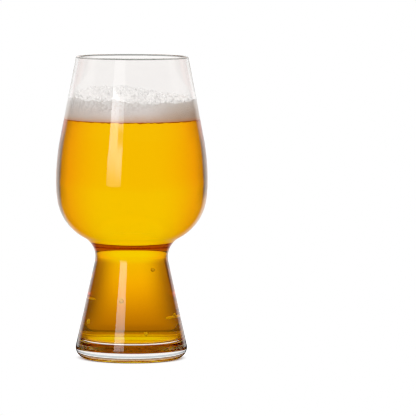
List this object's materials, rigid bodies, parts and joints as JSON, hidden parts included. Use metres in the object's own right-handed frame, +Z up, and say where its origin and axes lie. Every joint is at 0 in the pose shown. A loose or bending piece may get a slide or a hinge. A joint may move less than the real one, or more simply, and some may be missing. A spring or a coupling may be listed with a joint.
{
  "type": "beer glass",
  "caption": "Footed beer glass with a tulip bowl, short neck and hollow flared foot, filled with golden beer under a foam head.",
  "frame": {"origin": "centre of the base, on the surface that the glass stands on", "axes": "+Z up along the axis of the glass, towards the rim; +X to the right and -Y to the front as the picture shows it"},
  "size_m": [0.0892, 0.0892, 0.1775],
  "materials": {
    "clear_glass": "polished clear glass",
    "beer": "clear golden liquid",
    "foam": "fine wet foam",
    "bubble_film": "thin wet film",
    "gas": "gas bubble in beer"
  },
  "bodies": {
    "root": {"glass": "clear_glass", "beer": "beer", "foam_head": "foam", "foam_bubbles": "bubble_film", "wall_bubbles": "gas"}
  },
  "joints": []
}
